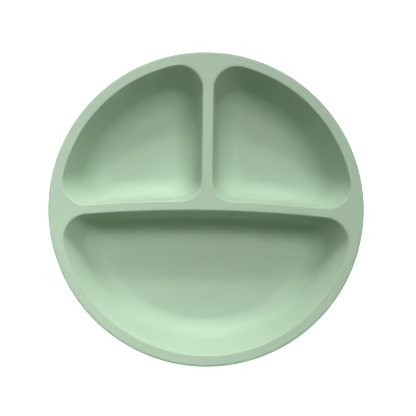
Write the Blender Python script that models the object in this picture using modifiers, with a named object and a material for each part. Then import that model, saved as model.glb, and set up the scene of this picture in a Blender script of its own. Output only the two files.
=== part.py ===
"""Divided baby plate on a lift-off suction base.

A soft silicone plate with three compartments stands on a suction base. The base is a stiff hub,
a thin domed cup that grips the table, and a pull tab on the cup's lip that lets the air back in.

Frame: metres, +Z up, the table at z = 0 and the plate's axis on Z. The single large compartment
lies towards -Y, and the divider between the two small compartments lies in the YZ plane.
"""

import math

import bmesh
import bpy
from mathutils import Matrix, Vector

# Driving dimensions, in metres and degrees.
PLATE_RADIUS = 0.0925
OVERALL_HEIGHT = 0.0360
COMPARTMENT_DEPTH = 0.0250
FLOOR_THICKNESS = 0.0030
RIM_WIDTH = 0.0065
RIM_OUTER_ROUND = 0.0012
RIM_BAND = 0.0005
RIM_INNER_ROUND = 0.0008

DIVIDER_WIDTH = 0.0055
SIDE_DIVIDER_WIDTH = 0.0062
DIVIDER_CREST_Y = 0.0038
DIVIDER_BEND_RADIUS = 0.7600

OUTER_DRAFT = math.radians(28.0)
OUTER_FILLET = 0.0150
DIVIDER_DRAFT = math.radians(11.0)
DIVIDER_FILLET = 0.0135
CORNER_TOP = 0.0140
CORNER_SIDE = 0.0138
CORNER_JUNCTION = 0.0125
CORNER_LARGE = 0.0144
CORNER_AT_FLOOR = 0.0060

UNDERSIDE_DRAFT = math.radians(38.0)
UNDERSIDE_FILLET = 0.0160
UNDERSIDE_SHOULDER = 0.0060

GAP = 0.0003

HUB_RADIUS = 0.0260
HUB_THICKNESS = 0.0025
HUB_ROUND = 0.0007
PLUG_BASE_RADIUS = 0.0130
PLUG_TIP_RADIUS = 0.0062
PLUG_HEIGHT = 0.0075
PLUG_TIP_ROUND = 0.0015

CUP_RADIUS = 0.0660
CUP_SEAL_WIDTH = 0.0055
CUP_LIP_THICKNESS = 0.0010
CUP_CENTRE_THICKNESS = 0.0018

TAB_WIDTH = 0.0220
TAB_LENGTH = 0.0220
TAB_THICKNESS = 0.0016
TAB_CLEARANCE = 0.0006
TAB_HINGE_SKIN = 0.0006
TAB_GROOVE_RADIUS = 0.0020
TAB_RIB_RADIUS = 0.0007
TAB_RIB_PITCH = 0.0032
TAB_RIB_COUNT = 3

PLATE_STEPS = 96
BASE_STEPS = 64
CORNER_STEPS = 9

# Levels that follow from the driving dimensions.
RIM_Z = OVERALL_HEIGHT
FLOOR_Z = RIM_Z - COMPARTMENT_DEPTH
UNDERSIDE_Z = FLOOR_Z - FLOOR_THICKNESS
HUB_TOP_Z = UNDERSIDE_Z - GAP
HUB_BOTTOM_Z = HUB_TOP_Z - HUB_THICKNESS
CUP_TOP_Z = HUB_BOTTOM_Z - GAP
CUP_CEILING_Z = CUP_TOP_Z - CUP_CENTRE_THICKNESS
TAB_HINGE_Y = -(CUP_RADIUS + GAP)
TAB_HINGE_Z = TAB_CLEARANCE + 0.5 * TAB_HINGE_SKIN

SAGE = (0.45, 0.62, 0.47, 1.0)
DEEP_SAGE = (0.38, 0.54, 0.41, 1.0)


def new_collection(name):
    """A collection in the scene, empty."""
    collection = bpy.data.collections.new(name)
    bpy.context.scene.collection.children.link(collection)
    return collection


def silicone(name, colour, roughness):
    """A matte silicone material."""
    material = bpy.data.materials.new(name)
    material.use_nodes = True
    shader = material.node_tree.nodes["Principled BSDF"]
    shader.inputs["Base Color"].default_value = colour
    shader.inputs["Roughness"].default_value = roughness
    shader.inputs["Metallic"].default_value = 0.0
    return material


def add_object(name, mesh, collection, material=None):
    """Link a mesh as a named object and give it a material."""
    part = bpy.data.objects.new(name, mesh)
    collection.objects.link(part)
    if material:
        mesh.materials.append(material)
    return part


def mesh_from_bmesh(name, bm):
    """Turn a finished bmesh into mesh data."""
    mesh = bpy.data.meshes.new(name)
    bm.to_mesh(mesh)
    bm.free()
    return mesh


def shade_round(part, angle=math.radians(35.0)):
    """Smooth shading that keeps edges sharper than the angle."""
    part.data.shade_smooth()
    part.data.set_sharp_from_angle(angle=angle)


def as_cutter(part):
    """Mark an object as a tool that only shapes other parts."""
    part.hide_render = True
    part.display_type = "WIRE"
    return part


def add_boolean(part, tool, operation):
    """Add one Boolean step to a part."""
    step = part.modifiers.new(tool.name, "BOOLEAN")
    step.operation = operation
    step.solver = "EXACT"
    step.object = tool


def arc_points(centre, radius, start, end, steps):
    """Points along a circle from one angle to another, both ends included."""
    points = []
    for i in range(steps + 1):
        angle = start + (end - start) * i / steps
        x = centre[0] + radius * math.cos(angle)
        y = centre[1] + radius * math.sin(angle)
        points.append(Vector((x, y)))
    return points


def turned(name, profile, steps, collection, material):
    """A turned solid: an XZ profile, from its top at the axis down to its bottom, screwed round Z."""
    bm = bmesh.new()
    verts = [bm.verts.new((r, 0.0, z)) for r, z in profile]
    for a, b in zip(verts, verts[1:]):
        bm.edges.new((a, b))
    part = add_object(name, mesh_from_bmesh(name, bm), collection, material)
    screw = part.modifiers.new("turn", "SCREW")
    screw.steps = steps
    screw.render_steps = steps
    screw.use_merge_vertices = True
    screw.merge_threshold = 0.00001
    screw.use_smooth_shade = True
    return part


def cross_bar(name, y, z, radius, length, collection):
    """A round bar lying along X."""
    bm = bmesh.new()
    bmesh.ops.create_cone(
        bm, cap_ends=True, segments=16, radius1=radius, radius2=radius, depth=length
    )
    bar = add_object(name, mesh_from_bmesh(name, bm), collection)
    bar.location = (0.0, y, z)
    bar.rotation_euler = (0.0, math.pi / 2.0, 0.0)
    return as_cutter(bar)


# ---------------------------------------------------------------- plate body


def wall_run(depth, draft, fillet):
    """How far a compartment wall has come in from the rim's edge at a depth below the rim.

    The wall starts with a small round at the rim, runs straight at its draft angle and ends in
    the floor fillet.
    """
    round_end = RIM_INNER_ROUND * (1.0 - math.sin(draft))
    if depth < round_end:
        set_back = RIM_INNER_ROUND * (1.0 - math.sin(draft)) / math.cos(draft)
        return math.sqrt(RIM_INNER_ROUND**2 - (RIM_INNER_ROUND - depth) ** 2) - set_back
    fillet_start = COMPARTMENT_DEPTH - fillet * (1.0 - math.sin(draft))
    if depth <= fillet_start:
        return depth * math.tan(draft)
    floor_run = fillet_start * math.tan(draft) + fillet * math.cos(draft)
    rise = depth - (COMPARTMENT_DEPTH - fillet)
    return floor_run - math.sqrt(max(fillet**2 - rise**2, 0.0))


def outer_run(depth):
    """How far the walls along the rim have come in at a depth."""
    return wall_run(depth, OUTER_DRAFT, OUTER_FILLET)


def divider_run(depth):
    """How far the walls along the dividers have come in at a depth."""
    return wall_run(depth, DIVIDER_DRAFT, DIVIDER_FILLET)


def corner_radius(depth, at_rim):
    """Plan radius of a compartment's corner, which tightens as the floor fillet closes in."""
    start = COMPARTMENT_DEPTH - DIVIDER_FILLET * (1.0 - math.sin(DIVIDER_DRAFT))
    if depth <= start:
        return at_rim
    run = divider_run(depth) - divider_run(start)
    whole = divider_run(COMPARTMENT_DEPTH) - divider_run(start)
    return at_rim + (CORNER_AT_FLOOR - at_rim) * run / whole


def cut_depths():
    """Depths of a compartment's sections: its rim round, its walls and its floor fillet."""
    depths = [RIM_INNER_ROUND * (1.0 - math.cos(math.radians(a))) for a in (0, 25, 50, 70)]
    centre = COMPARTMENT_DEPTH - OUTER_FILLET
    first = math.radians(-12.0)
    steps = 7
    for i in range(steps + 1):
        angle = first + (0.5 * math.pi - first) * i / steps
        depths.append(centre + OUTER_FILLET * math.sin(angle))
    return depths


def angle_of(point, centre):
    """Direction of a point seen from a centre."""
    return math.atan2(point[1] - centre[1], point[0] - centre[0])


def meeting_point(radius_a, centre_y, radius_b):
    """Where a circle round the origin meets a circle round (0, centre_y), on the +X side."""
    y = (radius_a**2 - radius_b**2 + centre_y**2) / (2.0 * centre_y)
    return Vector((math.sqrt(radius_a**2 - y**2), y))


def small_outline(depth):
    """Plan outline of the small compartment on the +X side at a depth, anticlockwise."""
    outer = PLATE_RADIUS - RIM_WIDTH - outer_run(depth)
    inset = divider_run(depth)
    side = 0.5 * SIDE_DIVIDER_WIDTH + inset
    bend_y = DIVIDER_CREST_Y - DIVIDER_BEND_RADIUS
    bend = DIVIDER_BEND_RADIUS + inset
    r_top = corner_radius(depth, CORNER_TOP)
    r_side = corner_radius(depth, CORNER_SIDE)
    r_junction = corner_radius(depth, CORNER_JUNCTION)

    top = Vector((side + r_top, math.sqrt((outer - r_top) ** 2 - (side + r_top) ** 2)))
    right = meeting_point(outer - r_side, bend_y, bend + r_side)
    reach = bend + r_junction
    junction_x = side + r_junction
    junction = Vector((junction_x, bend_y + math.sqrt(reach**2 - junction_x**2)))
    bend_centre = (0.0, bend_y)
    right_bend = angle_of(right, bend_centre)
    junction_bend = angle_of(junction, bend_centre)

    points = arc_points((0.0, 0.0), outer, angle_of(right, (0, 0)), angle_of(top, (0, 0)), 20)
    points += arc_points(top, r_top, angle_of(top, (0, 0)), math.pi, CORNER_STEPS)[1:]
    side_start = points[-1]
    side_end = Vector((side, junction.y))
    points += [side_start.lerp(side_end, i / 6) for i in range(1, 7)]
    points += arc_points(junction, r_junction, math.pi, junction_bend + math.pi, CORNER_STEPS)[1:]
    points += arc_points(bend_centre, bend, junction_bend, right_bend, 8)[1:]
    end = angle_of(right, (0, 0))
    points += arc_points(right, r_side, right_bend - math.pi, end, CORNER_STEPS)[1:-1]
    return points


def large_outline(depth):
    """Plan outline of the large compartment at a depth, anticlockwise."""
    outer = PLATE_RADIUS - RIM_WIDTH - outer_run(depth)
    bend_y = DIVIDER_CREST_Y - DIVIDER_BEND_RADIUS
    bend = DIVIDER_BEND_RADIUS - DIVIDER_WIDTH - divider_run(depth)
    corner = corner_radius(depth, CORNER_LARGE)

    right = meeting_point(outer - corner, bend_y, bend - corner)
    left = Vector((-right.x, right.y))
    bend_centre = (0.0, bend_y)
    right_out = angle_of(right, (0, 0))
    left_out = -math.pi - right_out
    right_bend = angle_of(right, bend_centre)
    left_bend = math.pi - right_bend

    points = arc_points((0.0, 0.0), outer, left_out, right_out, 40)
    points += arc_points(right, corner, right_out, right_bend, CORNER_STEPS)[1:]
    points += arc_points(bend_centre, bend, right_bend, left_bend, 16)[1:]
    points += arc_points(left, corner, left_bend, 2.0 * math.pi + left_out, CORNER_STEPS)[1:-1]
    return points


def compartment_cutter(name, outline, collection, mirror=False):
    """A closed loft through a compartment's sections, standing up out of the rim."""
    stand_up = 0.0030
    sections = [(RIM_Z + stand_up, outline(0.0))]
    sections += [(RIM_Z - depth, outline(depth)) for depth in cut_depths()]
    side = -1.0 if mirror else 1.0

    bm = bmesh.new()
    rings = []
    for z, points in sections:
        rings.append([bm.verts.new((side * p.x, p.y, z)) for p in points])
    for upper, lower in zip(rings, rings[1:]):
        count = len(upper)
        for i in range(count):
            j = (i + 1) % count
            bm.faces.new((upper[i], lower[i], lower[j], upper[j]))
    bm.faces.new(rings[0])
    bm.faces.new(list(reversed(rings[-1])))
    bmesh.ops.recalc_face_normals(bm, faces=bm.faces)
    return as_cutter(add_object(name, mesh_from_bmesh(name, bm), collection))


def underside_profile():
    """The plate's outer wall, from the rim band down to its flat underside, as (radius, z)."""
    shoulder = (PLATE_RADIUS - UNDERSIDE_SHOULDER, RIM_Z - RIM_OUTER_ROUND - RIM_BAND)
    points = arc_points(shoulder, UNDERSIDE_SHOULDER, 0.0, -UNDERSIDE_DRAFT, 4)
    wall_top = points[-1]
    down_in = Vector((-math.sin(UNDERSIDE_DRAFT), -math.cos(UNDERSIDE_DRAFT)))
    inward = Vector((-math.cos(UNDERSIDE_DRAFT), math.sin(UNDERSIDE_DRAFT)))
    centre_z = UNDERSIDE_Z + UNDERSIDE_FILLET
    start = wall_top + inward * UNDERSIDE_FILLET
    along = (centre_z - start.y) / down_in.y
    centre = start + down_in * along
    points += arc_points(centre, UNDERSIDE_FILLET, -UNDERSIDE_DRAFT, -math.pi / 2.0, 6)
    return points


def plate_profile():
    """Half section of the plate before its compartments are cut, axis to axis, as (radius, z)."""
    edge = (PLATE_RADIUS - RIM_OUTER_ROUND, RIM_Z - RIM_OUTER_ROUND)
    points = [Vector((0.0, RIM_Z))]
    points += arc_points(edge, RIM_OUTER_ROUND, math.pi / 2.0, 0.0, 5)
    points += underside_profile()
    points.append(Vector((PLUG_BASE_RADIUS + 2.0 * GAP, UNDERSIDE_Z)))
    tip_z = HUB_TOP_Z + PLUG_HEIGHT + GAP
    points.append(Vector((PLUG_TIP_RADIUS + 2.0 * GAP, tip_z)))
    points.append(Vector((0.0, tip_z)))
    return points


def build_plate_body(collection, cutters):
    """The plate: a turned blank with its three compartments cut out of it."""
    material = silicone("plate_sage", SAGE, 0.55)
    plate = turned("plate_body", plate_profile(), PLATE_STEPS, collection, material)
    tools = (
        compartment_cutter("cut_small_right", small_outline, cutters),
        compartment_cutter("cut_small_left", small_outline, cutters, mirror=True),
        compartment_cutter("cut_large", large_outline, cutters),
    )
    for tool in tools:
        add_boolean(plate, tool, "DIFFERENCE")


# -------------------------------------------------------------- suction base


def build_base_hub(collection):
    """The stiff hub: a disc under the plate with the tapered plug that locates the plate."""
    tip_z = HUB_TOP_Z + PLUG_HEIGHT
    slope = math.atan2(PLUG_BASE_RADIUS - PLUG_TIP_RADIUS, PLUG_HEIGHT)
    tip = (PLUG_TIP_RADIUS - PLUG_TIP_ROUND, tip_z - PLUG_TIP_ROUND)
    top_edge = (HUB_RADIUS - HUB_ROUND, HUB_TOP_Z - HUB_ROUND)
    low_edge = (HUB_RADIUS - HUB_ROUND, HUB_BOTTOM_Z + HUB_ROUND)
    points = [Vector((0.0, tip_z))]
    points += arc_points(tip, PLUG_TIP_ROUND, math.pi / 2.0, slope, 5)
    points.append(Vector((PLUG_BASE_RADIUS, HUB_TOP_Z)))
    points += arc_points(top_edge, HUB_ROUND, math.pi / 2.0, 0.0, 3)
    points += arc_points(low_edge, HUB_ROUND, 0.0, -math.pi / 2.0, 3)
    points.append(Vector((0.0, HUB_BOTTOM_Z)))
    turned("base_hub", points, BASE_STEPS, collection, silicone("hub_sage", DEEP_SAGE, 0.6))


def cup_curve(share, start, end):
    """A point on the cup's S-shaped slope, level at both ends, from start to end."""
    ease = share * share * (3.0 - 2.0 * share)
    return Vector((start.x + (end.x - start.x) * share, start.y + (end.y - start.y) * ease))


def build_suction_cup(collection):
    """The domed cup: level under the hub, sloping down to a thin lip with a flat sealing ring."""
    steps = 7
    top_in = Vector((HUB_RADIUS, CUP_TOP_Z))
    top_out = Vector((CUP_RADIUS - 0.5 * CUP_SEAL_WIDTH, CUP_LIP_THICKNESS))
    low_in = Vector((HUB_RADIUS, CUP_CEILING_Z))
    low_out = Vector((CUP_RADIUS - CUP_SEAL_WIDTH, 0.0))
    points = [Vector((0.0, CUP_TOP_Z))]
    points += [cup_curve(i / steps, top_in, top_out) for i in range(steps + 1)]
    lip_round = 0.5 * CUP_LIP_THICKNESS
    lip = (CUP_RADIUS - lip_round, lip_round)
    points += arc_points(lip, lip_round, math.pi / 2.0, -math.pi / 2.0, 4)
    points += [cup_curve(1.0 - i / steps, low_in, low_out) for i in range(steps + 1)]
    points.append(Vector((0.0, CUP_CEILING_Z)))
    turned("suction_cup", points, BASE_STEPS, collection, silicone("cup_sage", SAGE, 0.5))


def tab_outline():
    """Plan of the pull tab: a tongue whose root follows the cup's lip and whose end is round."""
    root = CUP_RADIUS + GAP
    half = 0.5 * TAB_WIDTH
    spread = math.asin(half / root)
    down = -math.pi / 2.0
    points = arc_points((0.0, 0.0), root, down + spread, down - spread, 10)
    end_y = -(CUP_RADIUS + TAB_LENGTH)
    points += arc_points((0.0, end_y + half), half, math.pi, 2.0 * math.pi, 18)
    return points


def build_release_tab(collection, cutters):
    """The pull tab: a flat tongue with a thinned hinge at its root and grip ribs near its end."""
    outline = tab_outline()
    curve = bpy.data.curves.new("release_tab_outline", "CURVE")
    curve.dimensions = "2D"
    curve.fill_mode = "BOTH"
    curve.extrude = 0.5 * TAB_THICKNESS
    spline = curve.splines.new("POLY")
    spline.points.add(len(outline) - 1)
    for point, p in zip(spline.points, outline):
        point.co = (p.x, p.y, 0.0, 1.0)
    spline.use_cyclic_u = True
    source = add_object("release_tab_source", curve, collection)
    source.location.z = TAB_CLEARANCE + 0.5 * TAB_THICKNESS
    bpy.context.view_layer.update()

    evaluated = source.evaluated_get(bpy.context.evaluated_depsgraph_get())
    mesh = bpy.data.meshes.new_from_object(evaluated)
    mesh.name = "release_tab"
    mesh.materials.clear()
    bm = bmesh.new()
    bm.from_mesh(mesh)
    bmesh.ops.remove_doubles(bm, verts=bm.verts, dist=0.00001)
    bm.to_mesh(mesh)
    bm.free()
    tab = add_object("release_tab", mesh, collection, silicone("tab_sage", SAGE, 0.5))
    tab.matrix_world = source.matrix_world.copy()
    bpy.data.objects.remove(source)

    hinge = Vector((0.0, TAB_HINGE_Y, TAB_HINGE_Z))
    mesh.transform(Matrix.Translation(tab.location - hinge))
    tab.location = hinge
    shade_round(tab)

    groove_z = TAB_CLEARANCE + TAB_HINGE_SKIN + TAB_GROOVE_RADIUS
    groove_length = 1.6 * TAB_WIDTH
    groove = cross_bar(
        "cut_tab_hinge", TAB_HINGE_Y, groove_z, TAB_GROOVE_RADIUS, groove_length, cutters
    )
    add_boolean(tab, groove, "DIFFERENCE")
    first_rib = -(CUP_RADIUS + TAB_LENGTH) + 0.5 * TAB_WIDTH - TAB_RIB_PITCH
    top_z = TAB_CLEARANCE + TAB_THICKNESS
    for i in range(TAB_RIB_COUNT):
        rib_y = first_rib + i * TAB_RIB_PITCH
        name = f"join_tab_rib_{i + 1}"
        rib = cross_bar(name, rib_y, top_z, TAB_RIB_RADIUS, 0.5 * TAB_WIDTH, cutters)
        add_boolean(tab, rib, "UNION")


def main():
    for old in list(bpy.data.objects):
        bpy.data.objects.remove(old)
    parts = new_collection("suction_bowl")
    cutters = new_collection("suction_bowl_cutters")
    build_plate_body(parts, cutters)
    build_base_hub(parts)
    build_suction_cup(parts)
    build_release_tab(parts, cutters)


main()
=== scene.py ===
"""Looks of the divided baby plate on its suction base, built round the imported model.

Every piece is a finer mesh of the CAD part that it stands for, made from the same sections, in
metres, with the table at z = 0. The materials are procedural silicone.
"""

import math

import bmesh
import bpy
from mathutils import Matrix, Quaternion, Vector


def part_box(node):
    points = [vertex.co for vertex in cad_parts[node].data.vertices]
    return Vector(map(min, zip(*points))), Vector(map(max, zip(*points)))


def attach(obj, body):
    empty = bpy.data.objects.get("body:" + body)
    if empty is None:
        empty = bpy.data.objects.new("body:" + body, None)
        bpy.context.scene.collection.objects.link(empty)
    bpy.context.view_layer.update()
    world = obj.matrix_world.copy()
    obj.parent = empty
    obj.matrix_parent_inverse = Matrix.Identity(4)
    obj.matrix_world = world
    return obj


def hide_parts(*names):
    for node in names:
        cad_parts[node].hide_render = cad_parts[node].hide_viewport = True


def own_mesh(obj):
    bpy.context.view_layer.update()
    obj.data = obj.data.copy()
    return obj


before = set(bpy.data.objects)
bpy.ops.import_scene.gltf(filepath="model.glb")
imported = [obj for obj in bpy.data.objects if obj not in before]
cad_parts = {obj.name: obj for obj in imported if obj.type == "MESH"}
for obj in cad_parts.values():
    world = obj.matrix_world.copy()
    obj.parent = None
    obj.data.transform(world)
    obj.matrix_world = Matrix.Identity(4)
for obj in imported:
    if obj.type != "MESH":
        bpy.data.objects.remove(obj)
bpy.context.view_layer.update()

# ------------------------------------------------------------------ sizes
# The frame gives the overall sizes. The rest repeat the CAD source's driving dimensions.

PLATE_LOW, PLATE_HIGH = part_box("plate_body")
HUB_LOW, HUB_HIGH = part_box("base_hub")
CUP_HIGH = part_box("suction_cup")[1]
TAB_LOW, TAB_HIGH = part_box("release_tab")

PLATE_RADIUS = PLATE_HIGH.x
RIM_Z = PLATE_HIGH.z
UNDERSIDE_Z = PLATE_LOW.z
FLOOR_THICKNESS = 0.0030
FLOOR_Z = UNDERSIDE_Z + FLOOR_THICKNESS
COMPARTMENT_DEPTH = RIM_Z - FLOOR_Z
RIM_WIDTH = 0.0065
RIM_OUTER_ROUND = 0.0012
RIM_BAND = 0.0005
RIM_INNER_ROUND = 0.0008

DIVIDER_WIDTH = 0.0055
SIDE_DIVIDER_WIDTH = 0.0062
DIVIDER_CREST_Y = 0.0038
DIVIDER_BEND_RADIUS = 0.7600

OUTER_DRAFT = math.radians(28.0)
OUTER_FILLET = 0.0150
DIVIDER_DRAFT = math.radians(11.0)
DIVIDER_FILLET = 0.0135
CORNER_TOP = 0.0140
CORNER_SIDE = 0.0138
CORNER_JUNCTION = 0.0125
CORNER_LARGE = 0.0144
CORNER_AT_FLOOR = 0.0060

UNDERSIDE_DRAFT = math.radians(38.0)
UNDERSIDE_FILLET = 0.0160
UNDERSIDE_SHOULDER = 0.0060

GAP = 0.0003
PLUG_BASE_RADIUS = 0.0130
PLUG_TIP_RADIUS = 0.0062
PLUG_TIP_ROUND = 0.0015
HUB_ROUND = 0.0007
CUP_SEAL_WIDTH = 0.0055
CUP_LIP_THICKNESS = 0.0010
CUP_CENTRE_THICKNESS = 0.0018

TAB_WIDTH = TAB_HIGH.x - TAB_LOW.x
TAB_THICKNESS = 0.0016
TAB_HINGE_SKIN = 0.0006
TAB_GROOVE_RADIUS = 0.0020
TAB_EDGE_ROUND = 0.0005
TAB_RIB_HEIGHT = 0.0007
TAB_RIB_WIDTH = 0.0022
TAB_RIB_PITCH = 0.0032
TAB_RIB_COUNT = 3

# How finely the meshes follow the curves.
CORNER_STEPS = 24
TURN_STEPS = 288
SUPPORT = 0.0004


# ----------------------------------------------------------------- helpers


def arc_points(centre, radius, start, end, steps):
    """Points along a circle from one angle to another, both ends included."""
    points = []
    for i in range(steps + 1):
        angle = start + (end - start) * i / steps
        x = centre[0] + radius * math.cos(angle)
        y = centre[1] + radius * math.sin(angle)
        points.append(Vector((x, y)))
    return points


def angle_of(point, centre):
    """Direction of a point seen from a centre."""
    return math.atan2(point[1] - centre[1], point[0] - centre[0])


def ring_of(bm, points, z, side=1.0):
    """A closed ring of vertices at one height."""
    return [bm.verts.new((side * p.x, p.y, z)) for p in points]


def bridge(bm, upper, lower):
    """Quads between two rings with the same count."""
    count = len(upper)
    for i in range(count):
        j = (i + 1) % count
        bm.faces.new((upper[i], lower[i], lower[j], upper[j]))


def circle_ring(bm, radius, z, steps=TURN_STEPS):
    """A ring of vertices on a circle round Z."""
    return ring_of(bm, arc_points((0.0, 0.0), radius, 0.0, 2.0 * math.pi, steps)[:-1], z)


def piece_from(bm, name, sharp=math.radians(40.0)):
    """Finish a bmesh as a smooth-shaded object."""
    bmesh.ops.recalc_face_normals(bm, faces=bm.faces)
    mesh = bpy.data.meshes.new(name)
    bm.to_mesh(mesh)
    bm.free()
    mesh.shade_smooth()
    mesh.set_sharp_from_angle(angle=sharp)
    piece = bpy.data.objects.new(name, mesh)
    bpy.context.scene.collection.objects.link(piece)
    return piece


# ---------------------------------------------------------------- the plate


def wall_run(depth, draft, fillet):
    """How far a compartment wall has come in from the rim's edge at a depth below the rim.

    The wall starts with a small round at the rim, runs straight at its draft angle and ends in
    the floor fillet.
    """
    round_end = RIM_INNER_ROUND * (1.0 - math.sin(draft))
    if depth < round_end:
        set_back = RIM_INNER_ROUND * (1.0 - math.sin(draft)) / math.cos(draft)
        return math.sqrt(RIM_INNER_ROUND**2 - (RIM_INNER_ROUND - depth) ** 2) - set_back
    fillet_start = COMPARTMENT_DEPTH - fillet * (1.0 - math.sin(draft))
    if depth <= fillet_start:
        return depth * math.tan(draft)
    floor_run = fillet_start * math.tan(draft) + fillet * math.cos(draft)
    rise = depth - (COMPARTMENT_DEPTH - fillet)
    return floor_run - math.sqrt(max(fillet**2 - rise**2, 0.0))


def outer_run(depth):
    """How far the walls along the rim have come in at a depth."""
    return wall_run(depth, OUTER_DRAFT, OUTER_FILLET)


def divider_run(depth):
    """How far the walls along the dividers have come in at a depth."""
    return wall_run(depth, DIVIDER_DRAFT, DIVIDER_FILLET)


def corner_radius(depth, at_rim):
    """Plan radius of a compartment's corner, which tightens as the floor fillet closes in."""
    start = COMPARTMENT_DEPTH - DIVIDER_FILLET * (1.0 - math.sin(DIVIDER_DRAFT))
    if depth <= start:
        return at_rim
    run = divider_run(depth) - divider_run(start)
    whole = divider_run(COMPARTMENT_DEPTH) - divider_run(start)
    return at_rim + (CORNER_AT_FLOOR - at_rim) * run / whole


def section_depths():
    """Depths of a compartment's sections: its rim round, its walls and its floor fillet."""
    turn = range(0, 75, 8)
    depths = [RIM_INNER_ROUND * (1.0 - math.cos(math.radians(a))) for a in turn]
    centre = COMPARTMENT_DEPTH - OUTER_FILLET
    wall_start = depths[-1]
    wall_end = centre + OUTER_FILLET * math.sin(DIVIDER_DRAFT)
    wall_steps = 10
    for i in range(1, wall_steps):
        depths.append(wall_start + (wall_end - wall_start) * i / wall_steps)
    fillet_steps = 30
    for i in range(fillet_steps + 1):
        angle = DIVIDER_DRAFT + (0.5 * math.pi - DIVIDER_DRAFT) * i / fillet_steps
        depths.append(centre + OUTER_FILLET * math.sin(angle))
    return depths


def meeting_point(radius_a, centre_y, radius_b):
    """Where a circle round the origin meets a circle round (0, centre_y), on the +X side."""
    y = (radius_a**2 - radius_b**2 + centre_y**2) / (2.0 * centre_y)
    return Vector((math.sqrt(radius_a**2 - y**2), y))


def small_outline(depth, inset=0.0):
    """Plan outline of the small compartment on the +X side at a depth, anticlockwise.

    An inset above zero draws the whole outline in, and one below zero pushes it out.
    """
    outer = PLATE_RADIUS - RIM_WIDTH - outer_run(depth) - inset
    run = divider_run(depth) + inset
    side = 0.5 * SIDE_DIVIDER_WIDTH + run
    bend_y = DIVIDER_CREST_Y - DIVIDER_BEND_RADIUS
    bend = DIVIDER_BEND_RADIUS + run
    r_top = corner_radius(depth, CORNER_TOP) - inset
    r_side = corner_radius(depth, CORNER_SIDE) - inset
    r_junction = corner_radius(depth, CORNER_JUNCTION) - inset

    top = Vector((side + r_top, math.sqrt((outer - r_top) ** 2 - (side + r_top) ** 2)))
    right = meeting_point(outer - r_side, bend_y, bend + r_side)
    reach = bend + r_junction
    junction_x = side + r_junction
    junction = Vector((junction_x, bend_y + math.sqrt(reach**2 - junction_x**2)))
    bend_centre = (0.0, bend_y)
    right_bend = angle_of(right, bend_centre)
    junction_bend = angle_of(junction, bend_centre)

    points = arc_points((0.0, 0.0), outer, angle_of(right, (0, 0)), angle_of(top, (0, 0)), 60)
    points += arc_points(top, r_top, angle_of(top, (0, 0)), math.pi, CORNER_STEPS)[1:]
    side_start = points[-1]
    side_end = Vector((side, junction.y))
    side_steps = 30
    points += [side_start.lerp(side_end, i / side_steps) for i in range(1, side_steps + 1)]
    points += arc_points(junction, r_junction, math.pi, junction_bend + math.pi, CORNER_STEPS)[1:]
    points += arc_points(bend_centre, bend, junction_bend, right_bend, 36)[1:]
    end = angle_of(right, (0, 0))
    points += arc_points(right, r_side, right_bend - math.pi, end, CORNER_STEPS)[1:-1]
    return points


def large_outline(depth, inset=0.0):
    """Plan outline of the large compartment at a depth, anticlockwise."""
    outer = PLATE_RADIUS - RIM_WIDTH - outer_run(depth) - inset
    bend_y = DIVIDER_CREST_Y - DIVIDER_BEND_RADIUS
    bend = DIVIDER_BEND_RADIUS - DIVIDER_WIDTH - divider_run(depth) - inset
    corner = corner_radius(depth, CORNER_LARGE) - inset

    right = meeting_point(outer - corner, bend_y, bend - corner)
    left = Vector((-right.x, right.y))
    bend_centre = (0.0, bend_y)
    right_out = angle_of(right, (0, 0))
    left_out = -math.pi - right_out
    right_bend = angle_of(right, bend_centre)
    left_bend = math.pi - right_bend

    points = arc_points((0.0, 0.0), outer, left_out, right_out, 120)
    points += arc_points(right, corner, right_out, right_bend, CORNER_STEPS)[1:]
    points += arc_points(bend_centre, bend, right_bend, left_bend, 80)[1:]
    points += arc_points(left, corner, left_bend, 2.0 * math.pi + left_out, CORNER_STEPS)[1:-1]
    return points


def add_compartment(bm, outline, side=1.0):
    """One compartment's wall and floor. Returns the ring where it meets the rim's flat top."""
    first = ring_of(bm, outline(0.0, -SUPPORT), RIM_Z, side)
    above = first
    for depth in section_depths():
        below = ring_of(bm, outline(depth), RIM_Z - depth, side)
        bridge(bm, above, below)
        above = below
    for inset in (SUPPORT, 4.0 * SUPPORT):
        below = ring_of(bm, outline(COMPARTMENT_DEPTH, inset), FLOOR_Z, side)
        bridge(bm, above, below)
        above = below
    bm.faces.new(above)
    return first


def outside_profile():
    """The plate's outside, from the rim's top edge to the tip of its socket, as (radius, z)."""
    edge = (PLATE_RADIUS - RIM_OUTER_ROUND, RIM_Z - RIM_OUTER_ROUND)
    points = [Vector((edge[0] - SUPPORT, RIM_Z))]
    points += arc_points(edge, RIM_OUTER_ROUND, math.pi / 2.0, 0.0, 10)
    shoulder = (PLATE_RADIUS - UNDERSIDE_SHOULDER, RIM_Z - RIM_OUTER_ROUND - RIM_BAND)
    points += arc_points(shoulder, UNDERSIDE_SHOULDER, 0.0, -UNDERSIDE_DRAFT, 12)
    wall_top = points[-1]
    down_in = Vector((-math.sin(UNDERSIDE_DRAFT), -math.cos(UNDERSIDE_DRAFT)))
    inward = Vector((-math.cos(UNDERSIDE_DRAFT), math.sin(UNDERSIDE_DRAFT)))
    start = wall_top + inward * UNDERSIDE_FILLET
    along = (UNDERSIDE_Z + UNDERSIDE_FILLET - start.y) / down_in.y
    centre = start + down_in * along
    fillet = arc_points(centre, UNDERSIDE_FILLET, -UNDERSIDE_DRAFT, -math.pi / 2.0, 20)
    wall_steps = 8
    points += [wall_top.lerp(fillet[0], i / wall_steps) for i in range(1, wall_steps)]
    points += fillet
    mouth = PLUG_BASE_RADIUS + 2.0 * GAP
    tip = PLUG_TIP_RADIUS + 2.0 * GAP
    tip_z = HUB_HIGH.z + GAP
    points.append(Vector((centre.x - SUPPORT, UNDERSIDE_Z)))
    points.append(Vector((mouth + SUPPORT, UNDERSIDE_Z)))
    points.append(Vector((mouth, UNDERSIDE_Z + SUPPORT)))
    points.append(Vector((tip, tip_z)))
    return points


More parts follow.
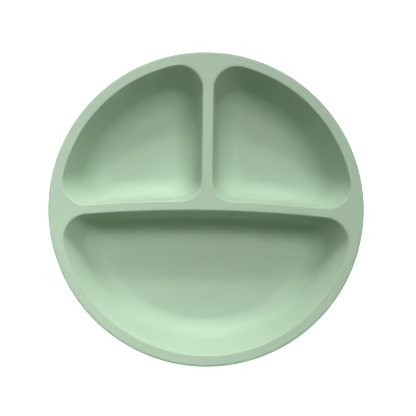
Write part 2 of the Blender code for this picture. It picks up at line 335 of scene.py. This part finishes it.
def build_plate():
    """The plate as one closed mesh: three compartments, the rim's flat top and the outside."""
    bm = bmesh.new()
    rings = [
        add_compartment(bm, small_outline),
        add_compartment(bm, small_outline, side=-1.0),
        add_compartment(bm, large_outline),
    ]
    profile = outside_profile()
    above = circle_ring(bm, profile[0].x, profile[0].y)
    rings.append(above)
    for point in profile[1:]:
        below = circle_ring(bm, point.x, point.y)
        bridge(bm, above, below)
        above = below
    bm.faces.new(above)

    edges = []
    for ring in rings:
        for a, b in zip(ring, ring[1:] + ring[:1]):
            edges.append(bm.edges.get((a, b)))
    bmesh.ops.triangle_fill(bm, edges=edges, use_beauty=True, normal=(0.0, 0.0, 1.0))
    return piece_from(bm, "plate")


# ------------------------------------------------------------- suction base


def turned(name, profile, steps=TURN_STEPS):
    """A closed turned solid from an XZ profile that starts and ends on the axis."""
    bm = bmesh.new()
    above = circle_ring(bm, profile[1].x, profile[1].y, steps)
    top = bm.verts.new((0.0, 0.0, profile[0].y))
    for i in range(steps):
        bm.faces.new((top, above[i], above[(i + 1) % steps]))
    for point in profile[2:-1]:
        below = circle_ring(bm, point.x, point.y, steps)
        bridge(bm, above, below)
        above = below
    bottom = bm.verts.new((0.0, 0.0, profile[-1].y))
    for i in range(steps):
        bm.faces.new((bottom, above[(i + 1) % steps], above[i]))
    return piece_from(bm, name)


def build_hub():
    """The stiff hub: the disc under the plate and its tapered plug."""
    tip_z = HUB_HIGH.z
    disc_top = UNDERSIDE_Z - GAP
    radius = HUB_HIGH.x
    slope = math.atan2(PLUG_BASE_RADIUS - PLUG_TIP_RADIUS, tip_z - disc_top)
    tip = (PLUG_TIP_RADIUS - PLUG_TIP_ROUND, tip_z - PLUG_TIP_ROUND)
    top_edge = (radius - HUB_ROUND, disc_top - HUB_ROUND)
    low_edge = (radius - HUB_ROUND, HUB_LOW.z + HUB_ROUND)
    points = [Vector((0.0, tip_z))]
    points += arc_points(tip, PLUG_TIP_ROUND, math.pi / 2.0, slope, 10)
    points.append(Vector((PLUG_BASE_RADIUS, disc_top + SUPPORT)))
    points.append(Vector((PLUG_BASE_RADIUS + SUPPORT, disc_top)))
    points += arc_points(top_edge, HUB_ROUND, math.pi / 2.0, 0.0, 8)
    points += arc_points(low_edge, HUB_ROUND, 0.0, -math.pi / 2.0, 8)
    points.append(Vector((0.0, HUB_LOW.z)))
    return turned("hub", points)


def cup_curve(share, start, end):
    """A point on the cup's S-shaped slope, level at both ends, from start to end."""
    ease = share * share * (3.0 - 2.0 * share)
    return Vector((start.x + (end.x - start.x) * share, start.y + (end.y - start.y) * ease))


def build_cup():
    """The domed cup with its flat sealing ring."""
    steps = 40
    radius = CUP_HIGH.x
    ceiling = CUP_HIGH.z - CUP_CENTRE_THICKNESS
    top_in = Vector((HUB_HIGH.x, CUP_HIGH.z))
    top_out = Vector((radius - 0.5 * CUP_SEAL_WIDTH, CUP_LIP_THICKNESS))
    low_in = Vector((HUB_HIGH.x, ceiling))
    low_out = Vector((radius - CUP_SEAL_WIDTH, 0.0))
    points = [Vector((0.0, CUP_HIGH.z))]
    points += [cup_curve(i / steps, top_in, top_out) for i in range(steps + 1)]
    lip_round = 0.5 * CUP_LIP_THICKNESS
    lip = (radius - lip_round, lip_round)
    points += arc_points(lip, lip_round, math.pi / 2.0, -math.pi / 2.0, 10)
    points += [cup_curve(1.0 - i / steps, low_in, low_out) for i in range(steps + 1)]
    points.append(Vector((0.0, ceiling)))
    return turned("cup", points)


def tab_top(x, y):
    """Height of the tab's upper face: level, thinned at the hinge, with soft grip ribs."""
    level = TAB_LOW.z + TAB_THICKNESS
    groove_z = TAB_LOW.z + TAB_HINGE_SKIN + TAB_GROOVE_RADIUS
    from_hinge = abs(y + CUP_HIGH.x + GAP)
    if from_hinge < TAB_GROOVE_RADIUS:
        level = min(level, groove_z - math.sqrt(TAB_GROOVE_RADIUS**2 - from_hinge**2))
    across = min(max((0.28 * TAB_WIDTH - abs(x)) / TAB_RIB_WIDTH, 0.0), 1.0)
    fade = across * across * (3.0 - 2.0 * across)
    first_rib = TAB_LOW.y + 0.5 * TAB_WIDTH - TAB_RIB_PITCH
    for i in range(TAB_RIB_COUNT):
        away = abs(y - first_rib - i * TAB_RIB_PITCH) / (0.5 * TAB_RIB_WIDTH)
        if away < 1.0:
            level += TAB_RIB_HEIGHT * fade * math.cos(0.5 * math.pi * away) ** 2
    return level


def tab_strip(inset):
    """Plan of one U-shaped strip of the tab, at an inset from its edge."""
    half = 0.5 * TAB_WIDTH
    reach = half - inset
    end_y = TAB_LOW.y + half
    root_y = -math.sqrt((CUP_HIGH.x + GAP) ** 2 - reach**2)
    side_steps = 60
    sides = []
    for x in (-reach, reach):
        root, turn = Vector((x, root_y)), Vector((x, end_y))
        sides.append([root.lerp(turn, i / side_steps) for i in range(side_steps)])
    end = arc_points((0.0, end_y), reach, math.pi, 2.0 * math.pi, 72)
    return sides[0] + end + sides[1][::-1]


def build_tab():
    """The pull tab: U-shaped strips from its spine to its edge, round at the end."""
    half = 0.5 * TAB_WIDTH
    strips = 40
    insets = [TAB_EDGE_ROUND + (half - TAB_EDGE_ROUND) * i / strips for i in range(1, strips)]
    turns = [math.radians(a) for a in (0, 22, 45, 68, 90)]
    edge = []
    for a in turns:
        edge.append((TAB_EDGE_ROUND * (1.0 - math.cos(a)), TAB_EDGE_ROUND * (1.0 - math.sin(a))))
    sections = [(inset, 0.0) for inset in reversed(insets)] + edge[::-1]

    bm = bmesh.new()
    bottom = []
    top = []
    for inset, drop in sections:
        bottom.append([])
        top.append([])
        for p in tab_strip(inset):
            level = tab_top(p.x, p.y)
            fall = drop * min(1.0, 0.45 * (level - TAB_LOW.z) / TAB_EDGE_ROUND)
            bottom[-1].append(bm.verts.new((p.x, p.y, TAB_LOW.z + fall)))
            top[-1].append(bm.verts.new((p.x, p.y, level - fall)))
    for rows in (bottom, top):
        for a, b in zip(rows, rows[1:]):
            for i in range(len(a) - 1):
                bm.faces.new((a[i], a[i + 1], b[i + 1], b[i]))
        spine = rows[0]
        middle = len(spine) // 2
        for i in range(middle - 1):
            bm.faces.new((spine[i], spine[i + 1], spine[-i - 2], spine[-i - 1]))
        bm.faces.new(spine[middle - 1 : middle + 2])
    low_edge, high_edge = bottom[-1], top[-1]
    for i in range(len(low_edge) - 1):
        bm.faces.new((low_edge[i], low_edge[i + 1], high_edge[i + 1], high_edge[i]))
    low_root = [row[0] for row in reversed(bottom)] + [row[-1] for row in bottom]
    high_root = [row[0] for row in reversed(top)] + [row[-1] for row in top]
    for i in range(len(low_root) - 1):
        bm.faces.new((low_root[i], low_root[i + 1], high_root[i + 1], high_root[i]))
    return piece_from(bm, "tab", math.radians(55.0))


# ---------------------------------------------------------------- materials


COLOUR_SPREAD = (0.975, 1.02)
ROUGHNESS_SPREAD = 0.05
CLOUD_SCALE = 26.0
POLISH_SCALE = 90.0
SOFT_SCALE = 140.0
GRAIN_SCALE = 2600.0
SOFT_HEIGHT = 0.0003
GRAIN_HEIGHT = 0.00006


def noise(tree, place, scale, detail):
    """A noise texture in the object's own coordinates."""
    texture = tree.nodes.new("ShaderNodeTexNoise")
    texture.inputs["Scale"].default_value = scale
    texture.inputs["Detail"].default_value = detail
    tree.links.new(place.outputs["Object"], texture.inputs["Vector"])
    return texture


def bump(tree, texture, strength, height):
    """A bump that raises the surface by a texture."""
    node = tree.nodes.new("ShaderNodeBump")
    node.inputs["Strength"].default_value = strength
    node.inputs["Distance"].default_value = height
    tree.links.new(texture.outputs["Fac"], node.inputs["Height"])
    return node


def silicone(name, colour, roughness):
    """Matte moulded silicone: a faint cloudiness, a fine mould grain and a soft sheen."""
    material = bpy.data.materials.new(name)
    material.use_nodes = True
    tree = material.node_tree
    links = tree.links
    shader = tree.nodes["Principled BSDF"]
    place = tree.nodes.new("ShaderNodeTexCoord")

    cloud = noise(tree, place, CLOUD_SCALE, 4.0)
    cloud.inputs["Roughness"].default_value = 0.55
    tone = tree.nodes.new("ShaderNodeValToRGB")
    for element, position, share in zip(tone.color_ramp.elements, (0.30, 0.70), COLOUR_SPREAD):
        element.position = position
        element.color = [min(c * share, 1.0) for c in colour] + [1.0]
    links.new(cloud.outputs["Fac"], tone.inputs["Fac"])
    links.new(tone.outputs["Color"], shader.inputs["Base Color"])

    polish = noise(tree, place, POLISH_SCALE, 3.0)
    spread = tree.nodes.new("ShaderNodeMapRange")
    spread.inputs["To Min"].default_value = roughness - ROUGHNESS_SPREAD
    spread.inputs["To Max"].default_value = roughness + ROUGHNESS_SPREAD
    links.new(polish.outputs["Fac"], spread.inputs["Value"])
    links.new(spread.outputs["Result"], shader.inputs["Roughness"])

    soft_bump = bump(tree, noise(tree, place, SOFT_SCALE, 2.0), 0.15, SOFT_HEIGHT)
    grain_bump = bump(tree, noise(tree, place, GRAIN_SCALE, 2.0), 0.25, GRAIN_HEIGHT)
    links.new(soft_bump.outputs["Normal"], grain_bump.inputs["Normal"])
    links.new(grain_bump.outputs["Normal"], shader.inputs["Normal"])

    shader.inputs["Specular IOR Level"].default_value = 0.5
    shader.inputs["IOR"].default_value = 1.41
    shader.inputs["Sheen Weight"].default_value = 0.08
    shader.inputs["Sheen Roughness"].default_value = 0.6
    return material


def dress(piece, material, slot, body, *nodes):
    """Give a piece its material, hang it on its body and hide the CAD nodes it stands for. The
    slot argument is not used.
    """
    piece.data.materials.append(material)
    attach(piece, body)
    if nodes:
        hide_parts(*nodes)


SAGE = (0.432, 0.592, 0.430)
DEEP_SAGE = (0.380, 0.530, 0.385)


def build_pieces():
    """All the pieces of the object, each riding on its body."""
    plate = build_plate()
    dress(plate, silicone("plate_silicone", SAGE, 0.50), "plate_silicone", "plate", "plate_body")
    hub = build_hub()
    dress(hub, silicone("hub_silicone", DEEP_SAGE, 0.62), "hub_silicone", "hub", "base_hub")
    cup = build_cup()
    dress(cup, silicone("cup_silicone", SAGE, 0.5), "cup_silicone", "cup", "suction_cup")
    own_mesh(cup)
    tab = build_tab()
    dress(tab, silicone("tab_silicone", SAGE, 0.5), "tab_silicone", "tab", "release_tab")


# ------------------------------------------------------- camera, light, floor

CAMERA_DISTANCE = 0.80
CAMERA_LEAN_X = math.radians(-2.3)
CAMERA_LEAN_Y = math.radians(-5.1)
CAMERA_ROLL = math.radians(0.9)
CAMERA_LENS = 118.6
CAMERA_AIM = (0.0007, -0.0003)


def build_camera():
    """Nearly straight above the plate, leaning a little to the front and to the left."""
    data = bpy.data.cameras.new("camera")
    data.sensor_width = 36.0
    data.lens = CAMERA_LENS
    camera = bpy.data.objects.new("camera", data)
    bpy.context.scene.collection.objects.link(camera)
    aim = Vector((CAMERA_AIM[0], CAMERA_AIM[1], RIM_Z))
    lean_x, lean_y = math.sin(CAMERA_LEAN_X), math.sin(CAMERA_LEAN_Y)
    back = Vector((lean_x, lean_y, math.sqrt(1.0 - lean_x**2 - lean_y**2)))
    camera.location = aim + back * CAMERA_DISTANCE
    right = (Vector((1.0, 0.0, 0.0)) - back * back.x).normalized()
    level = Matrix((right, back.cross(right), back)).transposed().to_quaternion()
    camera.rotation_mode = "QUATERNION"
    camera.rotation_quaternion = Quaternion(back, CAMERA_ROLL) @ level
    bpy.context.scene.camera = camera


HORIZON_TOP = 0.06
HORIZON_END = 0.22
HORIZON_STRENGTH = 1.0
SKY_STRENGTH = 0.02
FLOOR_REACH = 4.0
FLOOR_DROP = 0.0002

LIGHT_DISTANCE = 2.5
LIGHT_SPREAD = math.radians(50.0)
LIGHT_AIM = Vector((-0.575, -0.713, 0.0))


def softbox(name, azimuth, elevation, size, power):
    """A round softbox with a grid; azimuth 0 is +X and 90 is +Y, both angles in degrees.

    It aims past the plate to the front left, so the plate lies in the beam's soft edge and is
    lit a little brighter at the front left than at the right.
    """
    data = bpy.data.lights.new(name, "AREA")
    data.shape = "DISK"
    data.size = size
    data.spread = LIGHT_SPREAD
    data.energy = power
    light = bpy.data.objects.new(name, data)
    bpy.context.scene.collection.objects.link(light)
    a, e = math.radians(azimuth), math.radians(elevation)
    out = Vector((math.cos(a) * math.cos(e), math.sin(a) * math.cos(e), math.sin(e)))
    light.location = Vector((0.0, 0.0, RIM_Z)) + out * LIGHT_DISTANCE
    light.rotation_mode = "QUATERNION"
    light.rotation_quaternion = (LIGHT_AIM - light.location).to_track_quat("-Z", "Y")


def build_lights():
    """Softboxes behind the plate and at its sides, and a studio that is pale at its horizon."""
    softbox("key_low", 90.0, 22.0, 0.3, 2.0)
    softbox("key", 90.0, 32.0, 0.3, 2.2)
    softbox("high", 90.0, 72.0, 0.8, 5.3)
    softbox("right_high", 50.0, 60.0, 0.8, 1.9)
    softbox("left_low", 140.0, 30.0, 0.8, 2.2)
    world = bpy.data.worlds.new("studio")
    bpy.context.scene.world = world
    world.use_nodes = True
    nodes = world.node_tree.nodes
    links = world.node_tree.links
    background = nodes["Background"]
    background.inputs["Color"].default_value = (1.0, 1.0, 1.0, 1.0)
    place = nodes.new("ShaderNodeTexCoord")
    split = nodes.new("ShaderNodeSeparateXYZ")
    fade = nodes.new("ShaderNodeMapRange")
    fade.inputs["From Min"].default_value = HORIZON_TOP
    fade.inputs["From Max"].default_value = HORIZON_END
    fade.inputs["To Min"].default_value = HORIZON_STRENGTH
    fade.inputs["To Max"].default_value = SKY_STRENGTH
    links.new(place.outputs["Generated"], split.inputs["Vector"])
    links.new(split.outputs["Z"], fade.inputs["Value"])
    links.new(fade.outputs["Result"], background.inputs["Strength"])


def build_floor():
    """A plain white floor under the object."""
    bm = bmesh.new()
    bmesh.ops.create_grid(bm, x_segments=1, y_segments=1, size=FLOOR_REACH)
    mesh = bpy.data.meshes.new("floor")
    bm.to_mesh(mesh)
    bm.free()
    floor = bpy.data.objects.new("floor", mesh)
    floor.location.z = -FLOOR_DROP
    bpy.context.scene.collection.objects.link(floor)
    material = bpy.data.materials.new("floor")
    material.use_nodes = True
    shader = material.node_tree.nodes["Principled BSDF"]
    shader.inputs["Base Color"].default_value = (0.85, 0.85, 0.85, 1.0)
    shader.inputs["Roughness"].default_value = 0.8
    shader.inputs["Emission Color"].default_value = (1.0, 1.0, 1.0, 1.0)
    shader.inputs["Emission Strength"].default_value = 1.0
    mesh.materials.append(material)


build_pieces()
build_camera()
build_lights()
build_floor()
bpy.context.scene.view_settings.view_transform = "Standard"
